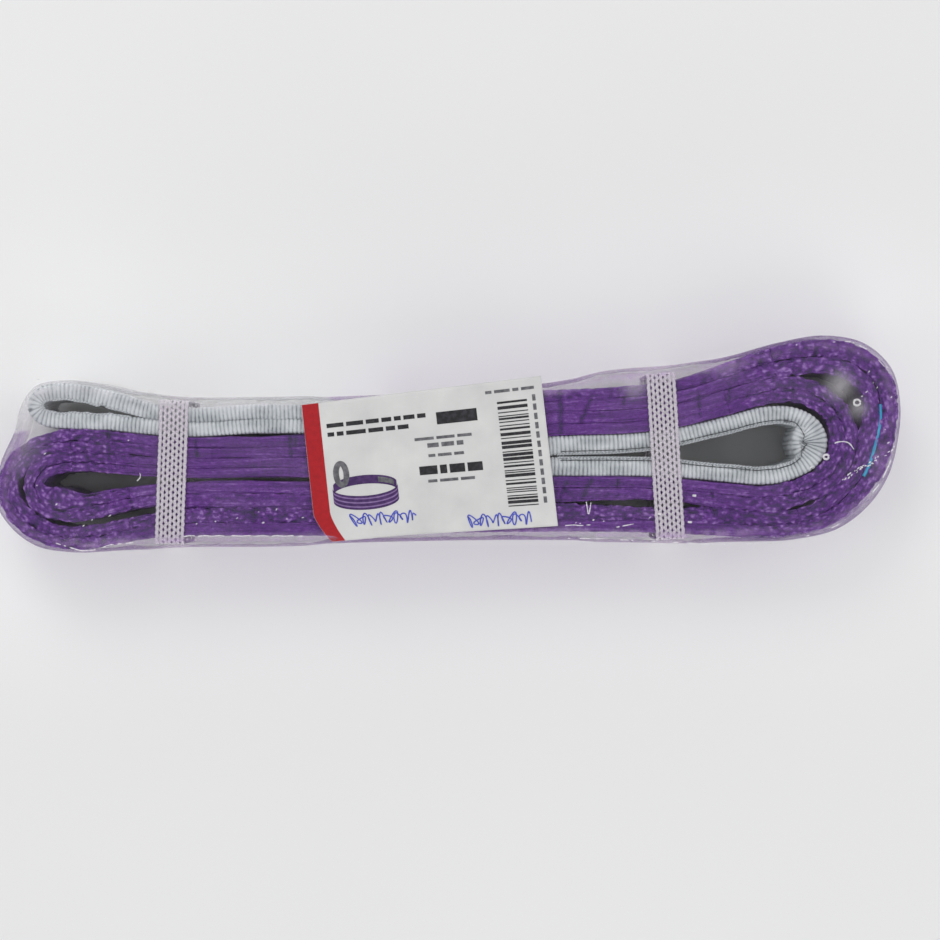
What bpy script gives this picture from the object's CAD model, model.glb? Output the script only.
import math

import bmesh
import bpy
import numpy as np
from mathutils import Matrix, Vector
from mathutils.geometry import delaunay_2d_cdt


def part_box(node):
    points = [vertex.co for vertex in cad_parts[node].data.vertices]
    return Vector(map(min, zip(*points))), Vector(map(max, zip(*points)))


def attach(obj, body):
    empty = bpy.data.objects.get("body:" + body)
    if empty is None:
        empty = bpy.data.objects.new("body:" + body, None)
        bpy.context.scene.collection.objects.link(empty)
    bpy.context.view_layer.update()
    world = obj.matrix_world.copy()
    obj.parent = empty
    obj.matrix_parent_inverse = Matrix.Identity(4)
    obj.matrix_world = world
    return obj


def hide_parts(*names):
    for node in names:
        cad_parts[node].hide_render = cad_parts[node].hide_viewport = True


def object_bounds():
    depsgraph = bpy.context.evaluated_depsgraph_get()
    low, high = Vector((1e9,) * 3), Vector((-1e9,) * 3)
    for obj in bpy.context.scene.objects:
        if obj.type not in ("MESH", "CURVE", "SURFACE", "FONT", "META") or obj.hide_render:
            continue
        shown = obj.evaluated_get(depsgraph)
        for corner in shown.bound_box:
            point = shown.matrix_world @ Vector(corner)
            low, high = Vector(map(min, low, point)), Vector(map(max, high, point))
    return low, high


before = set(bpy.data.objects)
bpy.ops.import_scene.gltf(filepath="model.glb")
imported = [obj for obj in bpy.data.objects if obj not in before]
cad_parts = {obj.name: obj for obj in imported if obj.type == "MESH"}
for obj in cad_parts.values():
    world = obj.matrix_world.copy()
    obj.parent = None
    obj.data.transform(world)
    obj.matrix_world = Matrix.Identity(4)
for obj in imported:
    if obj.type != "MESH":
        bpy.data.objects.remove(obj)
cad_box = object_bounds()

MM = 0.001

# ---------------------------------------------------------------- sizes in millimetres
PLY_STEP = 0.55  # between stations along the webbing
SLEEVE_STEP = 0.24
EDGE_ROUND = 0.9  # rounding of a selvage
RIB_PITCH = 1.35  # ribs of the sleeve cloth
WARP_PITCH = 1.1  # lengthwise yarns of the webbing
WEFT_PITCH = 1.6  # crossings of the webbing's weft
STITCH_PITCH = 4.2  # lockstitch along the body
STITCH_LONG = 3.3
STITCH_ROWS = (7.0, 12.0, 18.0, 23.0)  # above the lower selvage
THROAT_ROWS = (3.0, 9.5, 15.0, 20.5, 27.0)
THROAT_PITCH, THROAT_LONG = 3.1, 2.7
INNER_THROAT, OUTER_THROAT = 63.0, 51.0  # how much of the route the eyes' sewn blocks take
HEM_RADIUS = 0.42
BAND_STRANDS = 7  # wales of the knitted elastic
BAND_LOOP = 2.1  # courses of the knitted elastic
BAND_THICK, BAND_CORNER, BAND_STEP = 0.7, 1.6, 0.26
LABEL_LONG, LABEL_TALL, PAPER_THICK = 80.0, 50.0, 0.14
FILM_STEP = 1.15  # between points of the wrinkled film
FILM_THICK = 0.05
FILM_ROUND = 2.6  # how the film rounds the roll's rim
SKY_LOW, SKY_TOP = 1.25, 0.36  # brightness of the pale room, low down and overhead
# light on the table round the pack, and how far from it that light reaches
SPILL, SPILL_REACH = 0.11, 42.0
CAMERA_HEIGHT = 750.0  # above the web's upper selvages
PICTURE_WIDE = 313.3  # what the camera takes in at that level
PICTURE_MIDDLE = (7.33, -8.67)

RUNS = (
    "core_run",
    "left_inner_turn",
    "lower_inner_run",
    "right_inner_turn",
    "upper_inner_run",
    "left_outer_turn",
    "lower_outer_run",
    "right_outer_turn",
    "upper_outer_run",
)
# how strongly the selvage yarns stand out as knots, beyond what the turns do by themselves
KNOTTY = {
    "lower_outer_run_inner_ply": 1.0,
    "lower_inner_run_outer_ply": 0.35,
    "upper_outer_run_outer_ply": 0.45,
    "lower_outer_run_outer_ply": 0.15,
}
# how wide a crack a ply closes by spreading
USUAL_REACH = 1.2
REACH = {
    "core_run_inner_ply": 0.3,
    "lower_inner_run_inner_ply": 0.3,
    "lower_inner_run_outer_ply": 2.6,
    "lower_outer_run_inner_ply": 2.6,
    "right_inner_turn_outer_ply": 1.0,
    "right_outer_turn_inner_ply": 1.0,
}
# folds pressed across the selvages, from one side of a ply to the other
CREASES = (
    (115.3, 24.5, 115.0, 14.3, 0.42), (133.0, 13.5, 126.5, 7.0, 0.4), (83.7, 17.0, 83.9, 9.5, 0.42),
    (94.0, 19.5, 93.6, 13.8, 0.4), (122.8, 33.5, 122.4, 27.0, 0.42), (104.5, 28.5, 104.2, 24.0, 0.35),
    (37.4, 17.0, 37.7, 4.2, 0.75), (48.0, 15.9, 44.4, 7.6, 0.6), (58.9, 15.5, 58.3, 13.0, 0.4),
    (39.7, -12.3, 37.2, -18.4, 0.5), (48.0, -11.9, 44.8, -18.1, 0.6), (56.9, -12.0, 56.3, -14.5, 0.4),
    (88.0, -16.0, 88.6, -20.5, 0.35), (-52.6, 3.0, -52.3, -3.8, 0.6), (-50.9, 3.0, -50.9, -2.0, 0.35),
    (-84.4, 1.5, -83.6, -4.0, 0.5), (-113.4, 3.6, -113.0, -4.4, 0.5), (-111.2, 2.8, -111.6, -1.5, 0.35),
    (-120.4, -4.3, -118.6, -6.0, 0.4), (-129.2, -14.0, -127.6, -17.2, 0.4),
)
SLEEVE_CREASES = (
    (-146.5, 9.4, -143.0, 9.4, 0.4), (-143.0, 9.4, -139.0, 11.6, 0.4), (112.6, 7.6, 116.6, 4.6, 0.4),
    (114.8, -4.8, 118.2, -1.6, 0.4),
)
# where the bands hold the film off the roll: middle and reach along x
SLACK = ((-74.0, 26.0), (66.5, 16.0))
# milky places of the film: x, y, reach and how milky
BLOOMS = (
    (-149.0, 1.0, 9.0, 0.75), (-137.0, 20.0, 8.0, 0.35), (130.5, 19.5, 4.0, 0.8), (136.5, 12.0, 3.0, 0.6),
    (147.0, -6.0, 5.0, 0.35), (92.0, 27.5, 5.0, 0.3), (62.0, 19.4, 3.5, 0.6), (-92.0, 22.0, 6.0, 0.5),
)
# folded ridges of the film: path, thickness and how broken up they are
RIDGES = (
    (((127.0, -1.8), (128.3, 0.2), (130.7, 0.9), (133.5, 0.6), (135.2, -1.8)), 0.2, -0.6),
    (((-130.5, -33.0), (-122.0, -35.6), (-116.6, -35.2), (-112.9, -33.6), (-104.0, -32.8)), 0.17, -0.3),
    (((148.6, -1.3), (147.0, -6.5), (144.0, -12.8), (139.0, -19.0)), 0.2, -0.2),
    (((139.0, -20.5), (132.6, -25.5), (124.0, -29.8), (112.0, -32.0)), 0.15, 0.1),
    (((46.0, -19.2), (46.4, -21.5), (46.7, -23.4)), 0.2, -0.9),
    (((47.6, -19.4), (47.3, -21.5), (46.9, -23.4)), 0.17, -0.9),
    (((48.0, -29.4), (55.6, -27.8), (65.0, -26.0), (68.6, -23.5)), 0.15, -0.1),
    (tuple((-88.0 + 1.1 * k, -30.9 + 0.45 * abs(math.sin(0.72 * k))) for k in range(40)), 0.17, -0.45),
    (tuple((31.0 + 1.1 * k, -27.3 + 0.4 * abs(math.sin(0.7 * k + 1))) for k in range(16)), 0.16, -0.3),
    (((-102.7, -9.6), (-102.0, -11.0), (-103.6, -12.4)), 0.14, -0.9),
    (((38.0, -31.4), (52.0, -31.6), (68.0, -32.4), (90.0, -33.4), (108.0, -33.0)), 0.14, 0.1),
    (((126.3, 33.8), (134.0, 34.2), (140.5, 31.0), (145.5, 25.5)), 0.14, 0.15),
    (((-140.0, 21.0), (-128.0, 22.4), (-114.0, 19.4)), 0.12, 0.1),
)
# blobs where threads of the band are knotted: x, y, length, width
KNOTS = ((82.0, -17.2, 1.3, 0.8), (80.5, -26.0, 1.4, 0.7), (70.4, -23.3, 1.0, 0.8))
VENTS = ((136.2, 13.8, 1.1), (125.9, -4.3, 0.85))
# single glints
CRUMBS = (
    (116.0, 33.0), (139.1, 31.6), (137.2, 32.6), (146.1, 25.6), (142.9, 18.8), (141.6, 20.4), (139.4, 17.4),
    (137.9, 15.9), (147.6, 15.6), (146.6, 0.4), (145.6, 4.8), (140.2, 24.1), (120.9, -7.8), (42.6, -26.2),
    (44.0, -26.5), (48.4, -25.3), (51.8, -25.7), (-53.6, -24.9), (-48.3, -24.5), (-83.7, -26.6),
    (-61.5, -26.2), (-70.2, -24.7), (-77.4, -25.8), (-134.2, -3.2), (-130.4, -20.1), (-136.9, -13.8),
    (-118.5, -25.3), (-112.6, -23.9), (-121.3, -27.2), (-106.4, 1.2), (-63.0, -22.6), (-57.1, -21.8),
)


# ---------------------------------------------------------------- materials
def colour(code):
    """An sRGB hex value as a linear colour."""
    parts = [int(code[i : i + 2], 16) / 255 for i in (1, 3, 5)]
    return tuple(c / 12.92 if c <= 0.04045 else ((c + 0.055) / 1.055) ** 2.4 for c in parts) + (1.0,)


def add(tree, kind, inputs=None, **settings):
    """A node with its settings, whose inputs are each a value or another node's output."""
    made = tree.nodes.new("ShaderNode" + kind)
    for name, value in settings.items():
        setattr(made, name, value)
    for name, value in (inputs or {}).items():
        if isinstance(value, bpy.types.NodeSocket):
            tree.links.new(value, made.inputs[name])
        else:
            made.inputs[name].default_value = value
    return made


def ramp(tree, value, *stops):
    """A colour ramp through (position, hex colour) stops."""
    made = add(tree, "ValToRGB", {"Fac": value})
    points = made.color_ramp.elements
    while len(points) < len(stops):
        points.new(0.5)
    for point, (position, code) in zip(points, stops):
        point.position = position
        point.color = colour(code)
    return made.outputs["Color"]


def spread(tree, value, low, high, to_low=0.0, to_high=1.0):
    """A value taken from one range to another."""
    sockets = {"Value": value, "From Min": low, "From Max": high, "To Min": to_low, "To Max": to_high}
    return add(tree, "MapRange", sockets).outputs["Result"]


def noise(tree, place, scale, detail, roughness=0.5):
    sockets = {"Vector": place, "Scale": scale, "Detail": detail, "Roughness": roughness}
    return add(tree, "TexNoise", sockets).outputs["Fac"]


def mixed(tree, share, a, b):
    return add(tree, "Mix", {"Factor": share, "A": a, "B": b}).outputs["Result"]


def bumped(tree, height, strength, depth, under=None):
    """The surface direction over a pattern of that depth in millimetres, on top of another one if given."""
    sockets = {"Height": height, "Strength": strength, "Distance": depth * MM}
    if under is not None:
        sockets["Normal"] = under
    return add(tree, "Bump", sockets).outputs["Normal"]


def new_material(name):
    material = bpy.data.materials.new(name)
    material.use_nodes = True
    tree = material.node_tree
    tree.nodes.clear()
    return material, tree


def finish(material, tree, shader):
    out = tree.nodes.new("ShaderNodeOutputMaterial")
    tree.links.new(shader.outputs[0], out.inputs["Surface"])
    return material


def cloth_place(tree, along, across):
    """Cloth coordinates counted in pattern repeats of those sizes in millimetres."""
    sockets = {"Vector": add(tree, "UVMap", uv_map="cloth").outputs["UV"]}
    sockets["Scale"] = (1 / (along * MM), 1 / (across * MM), 1)
    return add(tree, "Mapping", sockets).outputs["Vector"]


def violet_polyester_webbing():
    """Solution dyed multifilament polyester, woven close: matt, with a soft fibre sheen, lengthwise yarns
    on the faces and looped, knotted yarns with dark pits between them on the selvages."""
    material, tree = new_material("violet_polyester_webbing")
    relief = add(tree, "Attribute", attribute_name="relief").outputs["Fac"]
    knots = add(tree, "Attribute", attribute_name="knots").outputs["Fac"]
    yarn = noise(tree, cloth_place(tree, 8.0, 0.5), 1.0, 4.0)
    fray = noise(tree, cloth_place(tree, 1.7, 0.8), 1.0, 4.0, 0.65)
    drift = add(tree, "TexNoise", {"Vector": cloth_place(tree, 1.3, 1.0), "Scale": 1.0, "Detail": 2.0})
    swirl = {0: drift.outputs["Color"], 1: (1.1, 1.1, 1.1), 2: cloth_place(tree, 2.2, 1.35)}
    bent = add(tree, "VectorMath", swirl, operation="MULTIPLY_ADD").outputs["Vector"]
    cell = add(tree, "TexVoronoi", {"Vector": bent, "Scale": 1.0}).outputs["Distance"]
    loops = spread(tree, cell, 0.12, 0.75, 0.78, 0.2)
    streaked = mixed(tree, 0.36, spread(tree, relief, -0.62, 0.5), yarn)
    frayed = mixed(tree, 0.36, streaked, fray)
    looped = add(tree, "Math", {0: knots, 1: 0.42}, operation="MULTIPLY").outputs["Value"]
    tone = mixed(tree, looped, frayed, loops)
    dark = (0.3, "#1f0838"), (0.41, "#3c1262"), (0.5, "#54157b")
    light = (0.57, "#693091"), (0.68, "#9c74bd")
    base = ramp(tree, tone, *dark, *light)
    bricks = {"Vector": cloth_place(tree, 2 * WEFT_PITCH, WARP_PITCH), "Scale": 1.0}
    bricks |= {"Mortar Size": 0.12, "Mortar Smooth": 1.0, "Brick Width": 1.0, "Row Height": 1.0}
    bricks |= {"Color1": (1, 1, 1, 1), "Color2": (0.85, 0.85, 0.85, 1), "Mortar": (0, 0, 0, 1)}
    laid = bumped(tree, add(tree, "TexBrick", bricks).outputs["Color"], 0.5, 0.25)
    sockets = {"Base Color": base, "Normal": bumped(tree, tone, 0.8, 0.9, laid)}
    sockets |= {"Roughness": 0.55, "IOR": 1.5, "Sheen Weight": 0.05, "Sheen Roughness": 0.4}
    return finish(material, tree, add(tree, "BsdfPrincipled", sockets))


def grey_sleeve_cloth():
    """Ribbed polyester wear cloth: cool light grey ribs with a dull bloom, darker in the grooves."""
    material, tree = new_material("grey_polyester_sleeve_cloth")
    relief = add(tree, "Attribute", attribute_name="relief").outputs["Fac"]
    thread = noise(tree, cloth_place(tree, 0.45, 0.8), 1.0, 3.0)
    broad = noise(tree, cloth_place(tree, 14.0, 9.0), 1.0, 1.0)
    grained = mixed(tree, 0.2, spread(tree, relief, -0.2, 0.16), thread)
    toned = mixed(tree, 0.15, grained, broad)
    base = ramp(tree, toned, (0.12, "#5b6168"), (0.34, "#979da3"), (0.6, "#bcc1c6"), (0.9, "#dadee2"))
    sockets = {"Base Color": base, "Normal": bumped(tree, thread, 0.5, 0.12), "Roughness": 0.72, "IOR": 1.5}
    sockets |= {"Sheen Weight": 0.2, "Sheen Roughness": 0.5}
    return finish(material, tree, add(tree, "BsdfPrincipled", sockets))


def sewing_thread(name, dark, light):
    """Bonded polyester thread: a tight twist that catches small glints."""
    material, tree = new_material(name)
    sockets = {"Vector": cloth_place(tree, 0.9, 0.9), "Scale": 1.0, "Distortion": 0.6}
    twist = add(tree, "TexWave", sockets, bands_direction="DIAGONAL").outputs["Fac"]
    base = ramp(tree, twist, (0.1, dark), (0.8, light))
    sockets = {"Base Color": base, "Normal": bumped(tree, twist, 0.4, 0.08), "Roughness": 0.45, "IOR": 1.5}
    return finish(material, tree, add(tree, "BsdfPrincipled", sockets))


def knitted_elastic():
    """White knitted elastic: fuzzy textured yarn over rubber, soft and bright, greyer in its loops, and
    so open that a little of what is under it shows through."""
    material, tree = new_material("white_knitted_elastic")
    fuzz = noise(tree, cloth_place(tree, 0.5, 0.4), 1.0, 3.0)
    base = ramp(tree, fuzz, (0.25, "#c2b9c7"), (0.6, "#e6dfe9"))
    sockets = {"Base Color": base, "Normal": bumped(tree, fuzz, 0.5, 0.1), "Roughness": 0.75, "IOR": 1.5}
    sockets |= {"Alpha": 0.8, "Sheen Weight": 0.3, "Sheen Roughness": 0.5}
    return finish(material, tree, add(tree, "BsdfPrincipled", sockets))


def coated_tag():
    """Coated polyester tag stock: smooth, bright blue, with a satin shine and slight scuffs."""
    material, tree = new_material("blue_coated_polyester_tag")
    scuff = noise(tree, cloth_place(tree, 6.0, 2.0), 1.0, 4.0)
    base = ramp(tree, scuff, (0.3, "#2a86c4"), (0.55, "#25a5d0"), (0.75, "#6fc4e4"))
    shader = add(tree, "BsdfPrincipled", {"Base Color": base, "Roughness": 0.35, "IOR": 1.5})
    return finish(material, tree, shader)


def coated_paper():
    """Smooth coated label paper: cool off white, almost flat, with a faint satin shine and fibre cloud."""
    material, tree = new_material("coated_label_paper")
    cloud = noise(tree, add(tree, "TexCoord").outputs["Object"], 90.0, 4.0)
    base = ramp(tree, cloud, (0.3, "#cbcbcb"), (0.7, "#d8d8d7"))
    sockets = {"Base Color": base, "Normal": bumped(tree, cloud, 0.15, 0.1), "Roughness": 0.5, "IOR": 1.45}
    return finish(material, tree, add(tree, "BsdfPrincipled", sockets))


def printing_ink(name, code, shade):
    """Thermal and offset print: flat colour that is a little uneven, as dull as the paper under it."""
    material, tree = new_material(name)
    patchy = noise(tree, add(tree, "TexCoord").outputs["Object"], 700.0, 2.0)
    base = ramp(tree, patchy, (0.3, shade), (0.6, code))
    shader = add(tree, "BsdfPrincipled", {"Base Color": base, "Roughness": 0.5, "IOR": 1.45})
    return finish(material, tree, shader)


def shrink_film(name, haze_low, haze_high, haze_code):
    """Clear polyolefin shrink film: see-through, with sharp glints on its wrinkles and a milky bloom
    where it is stretched, folded or seen along its surface. The bloom takes up violet from the webbing
    that the film lies against."""
    material, tree = new_material(name)
    place = add(tree, "TexCoord").outputs["Object"]
    bump = bumped(tree, noise(tree, place, 420.0, 3.0), 0.75, 0.25)
    facing = add(tree, "LayerWeight", {"Blend": 0.5, "Normal": bump}).outputs["Facing"]
    clouded = spread(tree, noise(tree, place, 60.0, 5.0, 0.65), 0.42, 0.75, haze_low, haze_high)
    milky = add(tree, "Math", {0: facing, 1: 2.5}, operation="POWER").outputs["Value"]
    bloom = add(tree, "Attribute", attribute_name="bloom").outputs["Fac"]
    soft = add(tree, "Math", {0: bloom, 1: 0.5, 2: clouded}, operation="MULTIPLY_ADD").outputs["Value"]
    haze = add(tree, "Math", {0: milky, 1: 0.32, 2: soft}, operation="MULTIPLY_ADD", use_clamp=True)
    clear = add(tree, "BsdfTransparent")
    tinge = add(tree, "Attribute", attribute_name="tinge").outputs["Fac"]
    milk_colour = ramp(tree, tinge, (0.0, haze_code), (0.5, "#dcc3ea"), (1.0, "#9b70ba"))
    front = add(tree, "BsdfDiffuse", {"Color": milk_colour})
    through = add(tree, "BsdfTranslucent", {"Color": milk_colour})
    milk = add(tree, "MixShader", {"Fac": 0.4, 1: front.outputs[0], 2: through.outputs[0]})
    veiled = add(tree, "MixShader", {"Fac": haze.outputs["Value"], 1: clear.outputs[0], 2: milk.outputs[0]})
    glint = add(tree, "BsdfGlossy", {"Roughness": 0.07, "Normal": bump})
    grazing = add(tree, "Math", {0: facing, 1: 5.0}, operation="POWER").outputs["Value"]
    shine = add(tree, "Math", {0: grazing, 1: 0.5, 2: 0.015}, operation="MULTIPLY_ADD").outputs["Value"]
    shader = add(tree, "MixShader", {"Fac": shine, 1: veiled.outputs[0], 2: glint.outputs[0]})
    return finish(material, tree, shader)


def studio_floor():
    """Matt white table in a light tent: pale, with a little light spilling in evenly round the pack."""
    material, tree = new_material("pale_studio_floor")
    cloud = noise(tree, add(tree, "TexCoord").outputs["Object"], 3.0, 2.0)
    base = ramp(tree, cloud, (0.3, "#e9e9ea"), (0.7, "#ececec"))
    spill = add(tree, "Attribute", attribute_name="spill").outputs["Fac"]
    sockets = {"Base Color": base, "Roughness": 0.85}
    sockets |= {"Emission Color": (1, 1, 1, 1), "Emission Strength": spill}
    return finish(material, tree, add(tree, "BsdfPrincipled", sockets))


WEBBING = violet_polyester_webbing()
SLEEVE = grey_sleeve_cloth()
BODY_THREAD = sewing_thread("violet_bonded_thread", "#3b1f57", "#8a63ab")
DARK_THREAD = sewing_thread("dark_bonded_thread", "#1d2023", "#4a4f54")
ELASTIC = knitted_elastic()
TAG = coated_tag()
PAPER = coated_paper()
BLACK_INK = printing_ink("black_label_ink", "#1c1b1f", "#35343a")
GREY_INK = printing_ink("grey_label_ink", "#55555a", "#77777c")
RED_INK = printing_ink("red_label_ink", "#ab0f1c", "#9d0c18")
VIOLET_INK = printing_ink("violet_label_ink", "#3b2056", "#4f3168")
PALE_INK = printing_ink("pale_violet_label_ink", "#7a5f93", "#8d74a5")
PEN_INK = printing_ink("blue_pen_ink", "#3c47b4", "#5a63c4")
FILM = shrink_film("clear_shrink_film", 0.0, 0.02, "#f4f1f6")
FILM_EDGE = shrink_film("heat_sealed_film", 0.7, 0.95, "#fbfafc")
FLOOR = studio_floor()


# ---------------------------------------------------------------- plan shapes, read from the frame
def cross(a, b):
    return a[..., 0] * b[..., 1] - a[..., 1] * b[..., 0]


def plan_outline(node):
    """The outline of an upright wall from above, in millimetres, in order round it."""
    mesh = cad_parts[node].data
    top = max(v.co.z for v in mesh.vertices)
    beside = {}
    for face in mesh.polygons:
        rim = [mesh.vertices[i].co for i in face.vertices if mesh.vertices[i].co.z > top - 1e-6]
        if len(rim) == 2 and abs(face.normal.z) < 0.5:
            a, b = (tuple(round(c / MM, 4) for c in co[:2]) for co in rim)
            if a != b:
                beside.setdefault(a, []).append(b)
                beside.setdefault(b, []).append(a)
    walk = [min(beside)]
    before = None
    while True:
        onward = [point for point in beside[walk[-1]] if point != before]
        before = walk[-1]
        if onward[0] == walk[0]:
            return np.array(walk)
        walk.append(onward[0])


def line_length(line):
    return np.linalg.norm(np.diff(line, axis=0), axis=1).sum()


def evenly(line, step):
    """Points along a line at an even step."""
    pieces = np.linalg.norm(np.diff(line, axis=0), axis=1)
    run = np.concatenate([[0], np.cumsum(pieces)])
    wanted = np.linspace(0, run[-1], max(2, int(round(run[-1] / step)) + 1))
    return np.column_stack([np.interp(wanted, run, line[:, k]) for k in (0, 1)])


def nearest(points, line):
    """The nearest point of a line to each point."""
    best = np.zeros_like(points)
    least = np.full(len(points), 1e9)
    for start, run in zip(line[:-1], np.diff(line, axis=0)):
        t = np.clip(((points - start) @ run) / max(run @ run, 1e-12), 0, 1)
        foot = start + t[:, None] * run
        gap = np.linalg.norm(points - foot, axis=1)
        closer = gap < least
        best[closer] = foot[closer]
        least[closer] = gap[closer]
    return best


def smoothed(values, reach):
    """Moving average that keeps both ends where they are."""
    out = values.copy()
    n = len(values)
    for i in range(1, n - 1):
        k = min(reach, i, n - 1 - i)
        out[i] = values[i - k : i + k + 1].mean(axis=0)
    return out


class Strip:
    """A wall's stations: middle, direction to its left, half thickness and run, all in millimetres."""

    def __init__(self, left, right, node, start=0.0):
        across = left - right
        width = np.linalg.norm(across, axis=1)
        self.middle = (left + right) / 2
        self.left = across / width[:, None]
        self.half = width / 2
        gaps = np.linalg.norm(np.diff(self.middle, axis=0), axis=1)
        self.run = start + np.concatenate([[0], np.cumsum(gaps)])
        self.end = self.run[-1]
        low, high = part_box(node)
        self.low, self.high = low.z / MM, high.z / MM

    def plan(self, side):
        """Plan places at distances to the left of the middle, one row for each station."""
        return self.middle[:, None] + side[..., None] * self.left[:, None]

    def rings(self, side, height):
        """Rings in metres from those distances and a height for each."""
        height = np.broadcast_to(height, side.shape)
        return np.concatenate([self.plan(side), height[..., None]], axis=2) * MM


def wall_strip(node, toward, step, start=0.0):
    """The strip of a CAD wall, which runs to the end nearest to a place."""
    loop = plan_outline(node)
    came = loop - np.roll(loop, 1, axis=0)
    goes = np.roll(loop, -1, axis=0) - loop
    turn = np.abs(np.arctan2(cross(came, goes), (came * goes).sum(axis=1)))
    corner = sorted(np.argsort(turn)[-4:])
    chains = []
    for a, b in zip(corner, corner[1:] + corner[:1]):
        last = b if b > a else b + len(loop)
        chains.append(loop[np.arange(a, last + 1) % len(loop)])
    lengths = [line_length(chain) for chain in chains]
    first = 0 if lengths[0] + lengths[2] > lengths[1] + lengths[3] else 1
    one, two = chains[first], chains[first + 2][::-1]
    if np.linalg.norm(one[-1] - toward) > np.linalg.norm(one[0] - toward):
        one, two = one[::-1], two[::-1]
    base, other = (one, two) if line_length(one) > line_length(two) else (two, one)
    points = evenly(base, step)
    feet = nearest(points, other)
    feet[0], feet[-1] = other[0], other[-1]
    reach = max(1, int(1.6 / step))
    points, feet = smoothed(points, reach), smoothed(feet, reach)
    middle = len(points) // 2
    ahead = points[middle + 1] - points[middle]
    if cross(ahead, feet[middle] - points[middle]) > 0:
        return Strip(feet, points, node, start)
    return Strip(points, feet, node, start)


def side_room(node, strip, walls):
    """How far it is from each side of a ply to the wall it faces, per station."""
    others = [loop for name, loop in walls.items() if not touching_ends(node, name)]
    start = np.vstack(others)
    run = np.vstack([np.roll(loop, -1, axis=0) - loop for loop in others])
    size = np.maximum((run * run).sum(axis=1), 1e-12)
    room = []
    for hand in (1, -1):
        out = strip.left * hand
        points = strip.middle + out * strip.half[:, None]
        least = np.full(len(points), 99.0)
        for i, (point, ahead) in enumerate(zip(points, out)):
            t = np.clip(((point - start) * run).sum(axis=1) / size, 0, 1)
            away = start + t[:, None] * run - point
            gap = np.linalg.norm(away, axis=1)
            faced = away @ ahead > 0.6 * gap
            least[i] = gap[faced].min() if faced.any() else 99.0
        room.append(smoothed(least, 4))
    return room


def touching_ends(node, name):
    """Whether two pieces are the same, or follow each other in the same ply."""
    if node == name:
        return True
    kinds = [n.rsplit("_", 2)[1] for n in (node, name)]
    bases = [n[: -len("_outer_ply")] for n in (node, name)]
    if kinds[0] != kinds[1] or not all(base in RUNS for base in bases):
        return False
    return abs(RUNS.index(bases[0]) - RUNS.index(bases[1])) == 1


class Grain:
    """Smooth seeded noise in the plane, from -1 to 1."""

    def __init__(self, seed, size=512):
        self.size = size
        self.table = np.random.default_rng(seed).uniform(-1, 1, (size, size))

    def __call__(self, x, y):
        x, y = np.broadcast_arrays(x, y)
        i, j = np.floor(x).astype(int), np.floor(y).astype(int)
        u, v = x - i, y - j
        u, v = u * u * (3 - 2 * u), v * v * (3 - 2 * v)
        table, n = self.table, self.size
        low = table[i % n, j % n] * (1 - u) + table[(i + 1) % n, j % n] * u
        high = table[i % n, (j + 1) % n] * (1 - u) + table[(i + 1) % n, (j + 1) % n] * u
        return low * (1 - v) + high * v


KNOT, LUMP, STREAK, SWAY, FOLD = (Grain(seed) for seed in (11, 23, 37, 41, 59))


def creased(plan, folds):
    """How deep points in plan, in millimetres, lie in one of the pressed folds, from 0 to 1."""
    depth = np.zeros(plan.shape[:-1])
    for x1, y1, x2, y2, wide in folds:
        start, run = np.array([x1, y1]), np.array([x2 - x1, y2 - y1])
        t = ((plan - start) @ run) / (run @ run)
        foot = start + np.clip(t, 0, 1)[..., None] * run
        gap = np.linalg.norm(plan - foot, axis=-1) + 0.25 * SWAY(plan[..., 0] * 1.3, plan[..., 1] * 1.3)
        depth = np.maximum(depth, np.exp(-((gap / wide) ** 2)))
    return depth


# ---------------------------------------------------------------- meshes
def make_object(name, verts, faces, material, smooth=True):
    mesh = bpy.data.meshes.new(name)
    mesh.from_pydata([tuple(v) for v in verts], [], faces)
    mesh.materials.append(material)
    mesh.polygons.foreach_set("use_smooth", [smooth] * len(mesh.polygons))
    piece = bpy.data.objects.new(name, mesh)
    bpy.context.scene.collection.objects.link(piece)
    return piece


def quads(grid):
    """Faces between the neighbouring rows and columns of a grid of point numbers."""
    corners = [grid[:-1, :-1], grid[:-1, 1:], grid[1:, 1:], grid[1:, :-1]]
    return np.stack(corners, axis=-1).reshape(-1, 4).tolist()


def closed(grid):
    """The grid with its first column again after its last."""
    return np.hstack([grid, grid[:, :1]])


def capped(grid):
    """Faces of a closed tube with flat ends, from a row of point numbers for each ring."""
    return quads(closed(grid)) + [grid[0][::-1].tolist(), grid[-1].tolist()]


def corner_places(run, girth):
    """Cloth coordinates of the corners of those faces, from millimetres along and round."""
    uv = np.stack(np.broadcast_arrays(run, girth), axis=-1) * MM
    return np.stack([uv[:-1, :-1], uv[:-1, 1:], uv[1:, 1:], uv[1:, :-1]], axis=2).reshape(-1, 2), uv


def lay_cloth(piece, *places):
    piece.data.uv_layers.new(name="cloth").data.foreach_set("uv", np.concatenate(places).ravel())


def mark(piece, label, values):
    """A value at each point, for the material to read."""
    piece.data.attributes.new(label, "FLOAT", "POINT").data.foreach_set("value", np.ravel(values))


def loft(name, rings, material, run, girth, relief=None, knots=None):
    """Closed rings joined along a run, with flat ends, cloth coordinates and a relief value."""
    n, k = rings.shape[:2]
    piece = make_object(name, rings.reshape(-1, 3), capped(np.arange(n * k).reshape(n, k)), material)
    around = np.hstack([girth, 2 * girth[:, -1:] - girth[:, -2:-1]])
    places, uv = corner_places(run[:, None], around)
    lay_cloth(piece, places, uv[0, :-1][::-1], uv[-1, :-1])
    for label, values in (("relief", relief), ("knots", knots)):
        if values is not None:
            mark(piece, label, np.broadcast_to(values, (n, k)))
    for cap in piece.data.polygons[-2:]:
        cap.use_smooth = False
    return piece


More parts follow.
